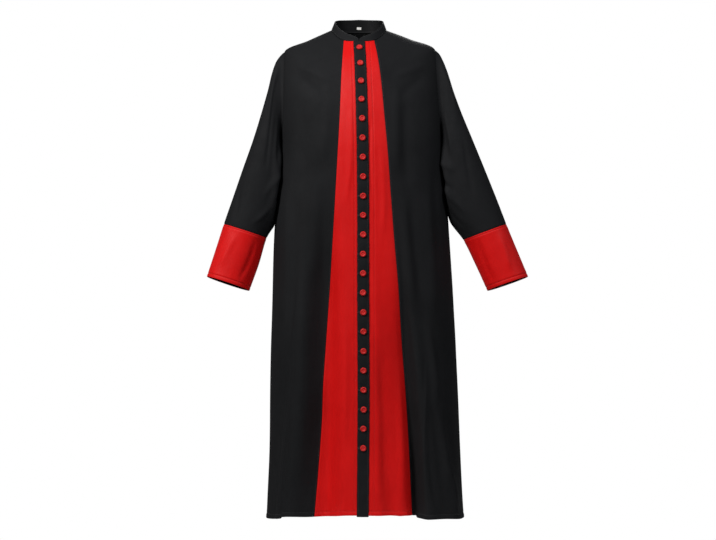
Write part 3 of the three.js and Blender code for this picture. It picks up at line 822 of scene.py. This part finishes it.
def label_cloth(collar):
    """The woven label, on the collar's inside at the centre back."""
    share = np.linspace(*LABEL_SHARES, 13)
    down = collar.down[-1] * np.linspace(*LABEL_HEIGHTS, 11)
    points = np.empty((len(down), len(share), 3))
    normals = np.empty_like(points)
    for i, row in enumerate(down):
        for j, column in enumerate(share):
            points[i, j], normals[i, j] = collar.at(row, column)
    width = np.full(len(down), collar.width.mean() * (share[-1] - share[0]))
    return Cloth(down - down[0], np.linspace(0, 1, len(share)), points, width, normals=normals)


# ---- Thread ----
THREAD_SIDES = 4


def threads(name, paths, outs, radius, material):
    """Short lengths of thread as one mesh: each path has the same count of points."""
    sides = THREAD_SIDES
    paths = np.asarray(paths, float)
    outs = np.asarray(outs, float)
    count, steps = paths.shape[:2]
    tangent = unit(np.gradient(paths, axis=1))
    aside = unit(np.cross(tangent, outs))
    up = np.cross(aside, tangent)
    taper = np.ones(steps)
    taper[[0, -1]] = 0.7
    turns = 2 * math.pi * (np.arange(sides) + 0.5) / sides
    wide = np.cos(turns)[None, None, :, None] * aside[:, :, None] * 1.15
    high = np.sin(turns)[None, None, :, None] * up[:, :, None] * 0.85
    vertices = paths[:, :, None] + (wide + high) * radius * taper[None, :, None, None]
    base = (np.arange(count) * steps * sides)[:, None, None]
    i = (np.arange(steps - 1) * sides)[None, :, None]
    k = np.arange(sides)[None, None, :]
    after = (k + 1) % sides
    corners = [base + i + k, base + i + after, base + i + sides + after, base + i + sides + k]
    faces = np.stack([np.broadcast_to(c, (count, steps - 1, sides)).ravel() for c in corners], axis=1)
    faces = faces[:, ::-1].tolist()
    for first in base[:, 0, 0].tolist():
        last = first + (steps - 1) * sides
        faces.append(list(range(first, first + sides)))
        faces.append(list(reversed(range(last, last + sides))))
    made = new_object(name, vertices.reshape(-1, 3), faces, material)
    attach(made, "root")
    return made


def stitch_line(cloth, places, outer=0.0):
    """Running stitches along a line of (down, share) places, each dipping into the cloth at its ends."""
    found = [cloth.at(down, share) for down, share in places]
    points = np.array([point + normal * outer for point, normal in found])
    normals = np.array([normal for _, normal in found])
    along = along_line(points)
    starts = np.arange(0.5 * STITCH["pitch"], along[-1] - STITCH["pitch"], STITCH["pitch"])
    wanted = starts[:, None] + STITCH["length"] * np.array([0, 0.22, 0.78, 1])[None, :]
    lift = np.array([-0.22, 0.2, 0.2, -0.22])
    paths = np.stack([np.interp(wanted, along, points[:, k]) for k in range(3)], axis=-1)
    outs = np.stack([np.interp(wanted, along, normals[:, k]) for k in range(3)], axis=-1)
    return paths + outs * lift[None, :, None], outs


def stitches(name, lines, material):
    """Stitch lines in one mesh. Each is a cloth, its places and, if it isn't 0, its height on the cloth."""
    made = [stitch_line(*line) for line in lines]
    paths = np.concatenate([paths for paths, _ in made])
    outs = np.concatenate([outs for _, outs in made])
    return threads(name, paths, outs, STITCH["radius"], material)


def upright(cloth, from_first):
    """A line down a cloth, from_first millimetres from its first edge or, if negative, from its last."""
    line = []
    for down in np.arange(6, HEM - 6, 5.0):
        width = cloth.width_at(down)
        line.append((down, (from_first % width) / width))
    return line


def level(down, first=0.004, last=0.996, count=120):
    """A line across a cloth."""
    return [(down, share) for share in np.linspace(first, last, count)]


# ---- Materials, with lengths in metres ----
class Nodes:
    """A short way to write a node material."""

    def __init__(self, name):
        self.material = bpy.data.materials.new(name)
        self.material.use_nodes = True
        self.tree = self.material.node_tree
        self.shader = self.tree.nodes["Principled BSDF"]

    def add(self, kind, inputs=None, **settings):
        node = self.tree.nodes.new(kind)
        for key, value in settings.items():
            setattr(node, key, value)
        for key, value in (inputs or {}).items():
            self.put(node.inputs[key], value)
        return node

    def put(self, socket, value):
        if isinstance(value, bpy.types.NodeSocket):
            self.tree.links.new(value, socket)
        else:
            socket.default_value = value

    def finish(self, values):
        """Give the shader its values, fixed or from nodes."""
        for key, value in values.items():
            self.put(self.shader.inputs[key], value)
        return self.material

    def math(self, operation, first, second=0.0):
        node = self.add("ShaderNodeMath", operation=operation)
        self.put(node.inputs[0], first)
        self.put(node.inputs[1], second)
        return node.outputs[0]

    def wave(self, value, length):
        """A sine wave that repeats after a length."""
        return self.math("SINE", self.math("MULTIPLY", value, 2 * math.pi / length))

    def noise(self, vector, scale, detail=3.0, roughness=0.55):
        inputs = {"Vector": vector, "Scale": scale, "Detail": detail, "Roughness": roughness}
        return self.add("ShaderNodeTexNoise", inputs).outputs[0]

    def blend(self, factor, first, second, kind="MIX"):
        node = self.add("ShaderNodeMix", data_type="RGBA", blend_type=kind)
        self.put(node.inputs[0], factor)
        self.put(node.inputs[6], first)
        self.put(node.inputs[7], second)
        return node.outputs[2]

    def ranged(self, value, low, high, to_low, to_high):
        node = self.add("ShaderNodeMapRange")
        for key, number in zip(range(5), (value, low, high, to_low, to_high)):
            self.put(node.inputs[key], number)
        return node.outputs[0]

    def toned(self, tone, spread, dark, light):
        """A colour between two, by a tone that lies within a spread of one half."""
        return self.blend(self.ranged(tone, 0.5 - spread, 0.5 + spread, 0.0, 1.0), dark, light)

    def bump(self, height, strength, distance, normal=None):
        inputs = {"Height": height, "Strength": strength, "Distance": distance}
        node = self.add("ShaderNodeBump", inputs)
        if normal is not None:
            self.put(node.inputs["Normal"], normal)
        return node.outputs[0]


def twill(name, dark, light, roughness, sheen, level, rib, gloss=0.0):
    """Twill: fine diagonal ribs over crossing yarns, with painted shade in their furrows, uneven dye, slubs
    and a little wear.
    """
    n = Nodes(name)
    coordinates = n.add("ShaderNodeTexCoord")
    pattern = coordinates.outputs["UV"]
    place = coordinates.outputs["Object"]
    axes = n.add("ShaderNodeSeparateXYZ", {0: pattern})
    across, down = axes.outputs[0], axes.outputs[1]
    diagonal = n.math("ADD", across, n.math("MULTIPLY", down, 0.8))
    wobble = n.math("MULTIPLY", n.noise(pattern, 900.0, 2.0), rib * 0.35)
    ribs = n.wave(n.math("ADD", diagonal, wobble), rib)
    weft = n.wave(down, rib * 0.5)
    weave = n.math("ADD", n.math("MULTIPLY", ribs, 0.6), n.math("MULTIPLY", weft, 0.25))
    slub_place = n.add("ShaderNodeMapping", {"Vector": pattern, "Scale": (380.0, 14.0, 1.0)}).outputs[0]
    slubs = n.math("MULTIPLY", n.noise(slub_place, 1.0, 2.0), 0.35)
    dye = n.math("MULTIPLY", n.noise(place, 7.0, 4.0), 0.65)
    colour = n.toned(n.math("ADD", dye, slubs), 0.18, dark, light)
    # The colour is darker in the weave's furrows and lighter on its ribs: painted shade and painted
    # highlight.
    rib_shading = n.ranged(weave, -0.8, 0.6, 0.72, 1.06)
    painted_rib_shading = n.add("ShaderNodeCombineColor", {0: rib_shading, 1: rib_shading, 2: rib_shading}).outputs[0]
    wear = n.ranged(n.noise(place, 26.0, 5.0, 0.65), 0.42, 0.72, -0.05, 0.06)
    crumple = n.bump(n.noise(place, 34.0, 3.0), 0.35, 0.0016)
    soft = n.bump(n.noise(place, 120.0, 2.0), 0.16, 0.0006, crumple)
    return n.finish({
        "Base Color": n.blend(1.0, colour, painted_rib_shading, "MULTIPLY"),
        "Roughness": n.math("ADD", wear, roughness),
        "Specular IOR Level": level,
        "Sheen Weight": sheen,
        "Sheen Roughness": 0.4,
        "Sheen Tint": (*[min(1.0, c * 6 + 0.15) for c in light[:3]], 1.0),
        "Anisotropic": gloss,
        "Normal": n.bump(weave, 0.35, 0.00016, soft),
    })


def thread_material(name, colour, roughness):
    """Twisted sewing thread."""
    n = Nodes(name)
    place = n.add("ShaderNodeTexCoord").outputs["Object"]
    twist = n.add(
        "ShaderNodeTexWave",
        {"Vector": place, "Scale": 900.0, "Distortion": 1.2, "Detail": 1.0},
        wave_type="BANDS",
        bands_direction="DIAGONAL",
    ).outputs[1]
    tone = n.noise(place, 90.0)
    darker = (*[c * 0.6 for c in colour[:3]], 1.0)
    return n.finish({
        "Base Color": n.toned(tone, 0.15, darker, colour),
        "Roughness": n.ranged(tone, 0.3, 0.7, roughness - 0.05, roughness + 0.05),
        "Specular IOR Level": 0.35,
        "Sheen Weight": 0.15,
        "Normal": n.bump(twist, 0.5, 0.0001),
    })


def label_material():
    """A plain woven label: close warp and weft."""
    n = Nodes("white woven label")
    coordinates = n.add("ShaderNodeTexCoord")
    axes = n.add("ShaderNodeSeparateXYZ", {0: coordinates.outputs["UV"]})
    weave = n.math("MULTIPLY", n.wave(axes.outputs[0], 0.00045), n.wave(axes.outputs[1], 0.0006))
    tone = n.noise(coordinates.outputs["Object"], 220.0)
    return n.finish({
        "Base Color": n.toned(tone, 0.2, (0.62, 0.61, 0.58, 1.0), (0.82, 0.81, 0.79, 1.0)),
        "Roughness": n.ranged(weave, -1.0, 1.0, 0.55, 0.75),
        "Sheen Weight": 0.2,
        "Normal": n.bump(weave, 0.5, 0.00015),
    })


def floor_material():
    """Pale and matt."""
    n = Nodes("pale floor")
    tone = n.noise(n.add("ShaderNodeTexCoord").outputs["Object"], 3.0)
    colour = n.toned(tone, 0.2, (0.93, 0.93, 0.93, 1), (0.97, 0.97, 0.97, 1))
    return n.finish({"Base Color": colour, "Roughness": 0.9})


# ---- Camera, light and floor ----
view_data = bpy.data.cameras.new("camera")
view_data.lens = 70
view_data.sensor_width = 36
camera = bpy.data.objects.new("camera", view_data)
camera.location = (-2.5 * MM, -4040 * MM, -694 * MM)
camera.rotation_euler = (math.pi / 2, 0, 0)
bpy.context.scene.collection.objects.link(camera)
bpy.context.scene.camera = camera
bpy.context.scene.view_settings.view_transform = "Standard"


def area_light(name, place, target, size, power, colour):
    data = bpy.data.lights.new(name, "AREA")
    data.shape = "SQUARE"
    data.size = size
    data.energy = power
    data.color = colour
    made = bpy.data.objects.new(name, data)
    made.location = place
    aim = np.array(target) - np.array(place)
    made.rotation_euler = (math.atan2(math.hypot(aim[0], aim[1]), -aim[2]), 0, math.atan2(-aim[0], aim[1]))
    bpy.context.scene.collection.objects.link(made)
    return made


area_light("key", (-2.0, -2.1, 1.5), (0.0, 0.0, -0.4), 0.8, 122, (1.0, 0.985, 0.965))
area_light("fill", (1.9, -2.1, 1.65), (0.0, 0.0, -0.3), 0.9, 51, (0.95, 0.97, 1.0))
area_light("rear", (0.5, 2.7, 1.5), (0.0, 0.0, -0.5), 1.2, 60, (1.0, 1.0, 1.0))

world = bpy.data.worlds.new("studio")
bpy.context.scene.world = world
world.use_nodes = True
world_tree = world.node_tree
backdrop = world_tree.nodes["Background"]
backdrop.inputs["Color"].default_value = (1.0, 1.0, 1.0, 1.0)
light_path = world_tree.nodes.new("ShaderNodeLightPath")
brightness = world_tree.nodes.new("ShaderNodeMapRange")
brightness.inputs["To Min"].default_value = 0.13
brightness.inputs["To Max"].default_value = 1.0
world_tree.links.new(light_path.outputs["Is Camera Ray"], brightness.inputs["Value"])
world_tree.links.new(brightness.outputs[0], backdrop.inputs["Strength"])

FLOOR_Z = -1600
FLOOR_RADIUS = 620
FLOOR_SIDES = 96
floor_turns = 2 * math.pi * np.arange(FLOOR_SIDES) / FLOOR_SIDES
floor_edge = [(FLOOR_RADIUS * math.cos(t), FLOOR_RADIUS * math.sin(t), FLOOR_Z) for t in floor_turns]
floor = new_object("floor", floor_edge, [list(range(FLOOR_SIDES))], floor_material(), False)

# ---- Finishes ----
BLACK = twill(
    "black twill", (0.0098, 0.0102, 0.0112, 1), (0.0128, 0.0132, 0.0145, 1),
    roughness=0.72, sheen=0.02, level=0.07, rib=0.0009,
)
RED = twill(
    "red satin twill", (0.61, 0.0050, 0.0048, 1), (0.715, 0.0080, 0.0076, 1),
    roughness=0.5, sheen=0.02, level=0.12, rib=0.0007, gloss=0.2,
)
BUTTON_RED = twill(
    "button cloth", (0.50, 0.008, 0.0075, 1), (0.60, 0.013, 0.012, 1),
    roughness=0.45, sheen=0.03, level=0.3, rib=0.0006,
)
# A darker copy of the black twill for the pieces' inner faces: painted shade inside the robe, where little
# light reaches.
INSIDE_SHADE_TWILL = twill(
    "black twill with painted inside shade", (0.0042, 0.0043, 0.0048, 1), (0.0062, 0.0063, 0.007, 1),
    roughness=0.6, sheen=0.01, level=0.1, rib=0.0005,
)
LABEL = label_material()
BLACK_THREAD = thread_material("black thread", (0.03, 0.03, 0.033, 1), 0.6)
RED_THREAD = thread_material("red thread", (0.5, 0.014, 0.012, 1), 0.55)
WHITE_THREAD = thread_material("white thread", (0.8, 0.8, 0.78, 1), 0.6)


# ---- The pieces of cloth ----
SHORTEST_CUT = 10.5  # the neck label's strip, whose two ends are turned under by about 1.9 mm


def cut(made, cloth, held):
    """Work out the flat size and area that a piece of cloth was cut to."""
    points = cloth.points
    if cloth.wraps:
        points = np.concatenate([points, points[:, :1]], axis=1)
    a, b = points[1:, 1:] - points[:-1, :-1], points[1:, :-1] - points[:-1, 1:]
    area = np.linalg.norm(np.cross(a, b), axis=2).sum() / 2
    across = np.linalg.norm(np.diff(points, axis=1), axis=2).sum(axis=1).max()
    length = np.linalg.norm(np.diff(points, axis=0), axis=2).sum(axis=0).max()
    width, length, area = across * MM, max(length, SHORTEST_CUT) * MM, area * MM * MM


front_left = Panel("left", ("gore_left", "front_left"), (1, 2), dips=(1, 0.4))
front_right = Panel("right", ("front_right", "gore_right"), (2, 1), dips=(0.4, 1))
placket, BUTTON_ROWS = placket_cloth()
CLOTHS = {
    "red_panel_left": body_cloth(Panel("left", ("middle", "gore_left"), (0, 1)), GORE_GRID),
    "red_panel_right": body_cloth(Panel("right", ("gore_right", "middle"), (1, 0)), GORE_GRID),
    "front_left": body_cloth(front_left, FRONT_GRID),
    "front_right": body_cloth(front_right, FRONT_GRID),
    "back": back_cloth(),
    "placket": placket,
    "collar": collar_cloth(),
}
SEAM_RING = 0.0016  # half the gap at the cuff's seam, in rings
SLEEVE_ROWS = np.concatenate([[0, 0.06, 0.13], np.arange(0.22, 3, 0.16), np.arange(3, 8.9, 0.085)])
SLEEVE_ROWS = np.append(SLEEVE_ROWS, [8.93, 8.96, 8.985, CUFF_RING - SEAM_RING])
CUFF_START = [CUFF_RING + SEAM_RING, 9.015, 9.035, 9.05, 9.063, 9.078, 9.095, 9.12]
CUFF_END = [10.8, 10.83, 10.85, 10.863, 10.876, 10.89, 10.91, 10.95, 10.975, 10.99, LAST_RING]
CUFF_ROWS = np.concatenate([CUFF_START, np.arange(9.17, 10.76, 0.07), CUFF_END])
for side in ("left", "right"):
    CLOTHS["sleeve_" + side] = sleeve_cloth(side, SLEEVE_ROWS, 112, (0, CUFF_RING))
    CLOTHS["cuff_" + side] = sleeve_cloth(side, CUFF_ROWS, 112, (CUFF_RING,))
CLOTHS["neck_label"] = label_cloth(CLOTHS["collar"])

# By the first word of a piece's name; the others are black.
FINISHES = {"red": (RED, "red_cloth"), "cuff": (RED, "red_cloth"), "neck": (LABEL, "label_cloth")}
DEPTHS = {
    "placket": (LAYER_GAP, PLACKET_OUTER),
    "collar": (-COLLAR_CLOTH, 0.0),
    "neck_label": (LABEL_INNER, LABEL_OUTER),
}
for name, cloth in CLOTHS.items():
    material, slot = FINISHES.get(name.split("_")[0], (BLACK, "black_cloth"))
    inner, outer = DEPTHS.get(name, (-CLOTH, 0.0))
    # Every piece but the placket and the label gets painted shade on its inner face.
    inside_shade = None if name in ("placket", "neck_label") else INSIDE_SHADE_TWILL
    piece = shell(name + "_cloth", cloth, material, inner, outer, inside_shade)
    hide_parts(name)
    cut(piece, cloth, "gathered" if name.startswith(("sleeve", "cuff")) else "hung")

# ---- Buttons ----
BUTTON_SIDES = 44
BUTTON_PROFILE = [  # radius and height, as shares
    [0.30, 0.10],
    [0.62, 0.03],
    [0.84, 0.0],
    [0.955, 0.10],
    [1.0, 0.28],
    [0.995, 0.46],
    [0.955, 0.64],
    [0.885, 0.81],
    [0.82, 0.93],
    [0.74, 0.99],
    [0.67, 1.0],
    [0.60, 0.96],
    [0.50, 0.84],
    [0.40, 0.72],
    [0.31, 0.70],
    [0.22, 0.76],
    [0.10, 0.80],
]
GATHERS = 21  # pleats where the cloth is drawn round the button's edge
# A buttonhole: its two ends from the button's middle, half its slit, half its width and its threads' pitch.
HOLE = {"start": -6.5, "end": 13.6, "slit": 0.35, "half": 2.2, "pitch": 0.62}
random = np.random.default_rng(7)


def frame_at(down):
    """The placket's middle at a distance down: the point on it, and its across, down and out axes."""
    point, out = placket.at(down, 0.5)
    below, _ = placket.at(down + 6, 0.5)
    downward = unit(below - point - out * (below - point).dot(out))
    return point, np.cross(downward, out), downward, out


def covered_button(name, down):
    """A domed mould with a dished face and cloth drawn over it, a little askew as sewn."""
    point, across, downward, out = frame_at(down)
    tip = random.normal(0, 0.035, 2)
    out = unit(out + across * tip[0] + downward * tip[1])
    across = unit(across - out * across.dot(out))
    downward = np.cross(out, across)
    centre = point + out * BUTTON_STAND + across * random.normal(0, 0.25) + downward * random.normal(0, 0.3)
    phase = random.uniform(0, 6.28)
    turns = 2 * math.pi * np.arange(BUTTON_SIDES) / BUTTON_SIDES
    vertices, uv = [], []
    for radius, height in BUTTON_PROFILE:
        pleat = 0.016 * smooth((0.6 - height) / 0.6) * np.cos(GATHERS * turns + phase)
        ripple = 0.012 * np.cos(2 * turns + phase) + 0.008 * np.cos(5 * turns + 2 * phase)
        r = radius * (1 + pleat) * BUTTON_RADIUS
        z = (height + ripple * (height > 0.7)) * BUTTON_HEIGHT
        ring = centre + np.outer(r * np.cos(turns), across) + np.outer(r * np.sin(turns), downward)
        vertices.append(ring + np.outer(np.broadcast_to(z, turns.shape), out))
        uv.append(np.stack([r * np.cos(turns), r * np.sin(turns)], axis=1) * (1 + 0.3 * (height < 0.6)))
    vertices = np.concatenate(vertices)
    uv = np.concatenate(uv)
    faces = []
    for i in range(len(BUTTON_PROFILE) - 1):
        for j in range(BUTTON_SIDES):
            after = (j + 1) % BUTTON_SIDES
            a, b = i * BUTTON_SIDES, (i + 1) * BUTTON_SIDES
            faces.append([b + j, b + after, a + after, a + j])
    last = (len(BUTTON_PROFILE) - 1) * BUTTON_SIDES
    faces.append(list(reversed(range(last, last + BUTTON_SIDES))))
    faces.append(list(range(BUTTON_SIDES)))
    made = new_object(name + "_covered", vertices, faces, BUTTON_RED)
    set_uv(made, uv)
    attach(made, "root")
    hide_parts(name)


def buttonhole(down):
    """Threads worked over both edges of the slit and fanned at its outer end."""
    point, across, downward, out = frame_at(down)
    base = point + out * (PLACKET_OUTER + 0.15)
    paths, outs = [], []

    def stitch(x1, z1, x2, z2):
        line = []
        for share, lift in ((0, 0.12), (0.5, 0.3), (1, -0.1)):
            x, z = x1 + (x2 - x1) * share, z1 + (z2 - z1) * share
            line.append(base + across * x + downward * z + out * lift)
        paths.append(line)
        outs.append([out] * 3)

    for x in np.arange(HOLE["start"], HOLE["end"], HOLE["pitch"]):
        reach = HOLE["half"] + 0.1 + random.normal(0, 0.12)
        stitch(x, HOLE["slit"], x + 0.1, reach)
        stitch(x, -HOLE["slit"], x + 0.1, -reach)
    for turn in np.radians(np.arange(-75, 76, 15)):
        ahead, aside = math.cos(turn), math.sin(turn)
        fan = (HOLE["end"] + HOLE["half"] * ahead, HOLE["half"] * aside)
        stitch(HOLE["end"] + 0.4 * ahead, 0.4 * aside, *fan)
    return paths, outs


hole_paths, hole_outs = [], []
for i, down in enumerate(BUTTON_ROWS):
    covered_button(f"button_{i + 1:02d}", down)
    paths, outs = buttonhole(down)
    hole_paths += paths
    hole_outs += outs
threads("buttonhole_stitches", hole_paths, hole_outs, 0.26, BLACK_THREAD)

# ---- Sewing ----
EDGE_STITCH = 3.2  # from the fronts' gore seams
COLLAR_STITCH = 4.5  # from the collar's top edge and its seam
hem_line = HEM - HEM_STITCH
left_gore, right_gore = CLOTHS["red_panel_left"], CLOTHS["red_panel_right"]
red_lines = [
    (left_gore, upright(left_gore, PLACKET_STITCH["left"])),
    (right_gore, upright(right_gore, -PLACKET_STITCH["right"])),
    (left_gore, level(hem_line)),
    (right_gore, level(hem_line)),
]
black_lines = []
for name in ("front_left", "front_right", "back"):
    black_lines.append((CLOTHS[name], level(hem_line, count=200)))
for name, from_first in (("front_left", EDGE_STITCH), ("front_right", -EDGE_STITCH)):
    black_lines.append((CLOTHS[name], upright(CLOTHS[name], from_first)))
for share in (0.11, 0.89):
    black_lines.append((placket, [(down, share) for down in np.arange(5, HEM, 5.0)], PLACKET_OUTER))
collar = CLOTHS["collar"]
for down in (COLLAR_STITCH, collar.down[-1] - COLLAR_STITCH):
    black_lines.append((collar, level(down, 0.02, 0.98, 220)))
for side in ("left", "right"):
    cuff = CLOTHS["cuff_" + side]
    for down in (cuff.down[-1] - CUFF_STITCHES[1], cuff.down[0] + CUFF_STITCHES[0]):
        red_lines.append((cuff, level(down, 0, 1, 140)))
stitches("red_stitches", red_lines, RED_THREAD)
stitches("black_stitches", black_lines, BLACK_THREAD)

label = CLOTHS["neck_label"]
label_lines = []
for share in (0.06, 0.94):
    line = [(down, share) for down in np.linspace(0.8, label.down[-1] - 0.8, 12)]
    label_lines.append((label, line, LABEL_INNER - 0.1))
stitches("label_stitches", label_lines, WHITE_THREAD)
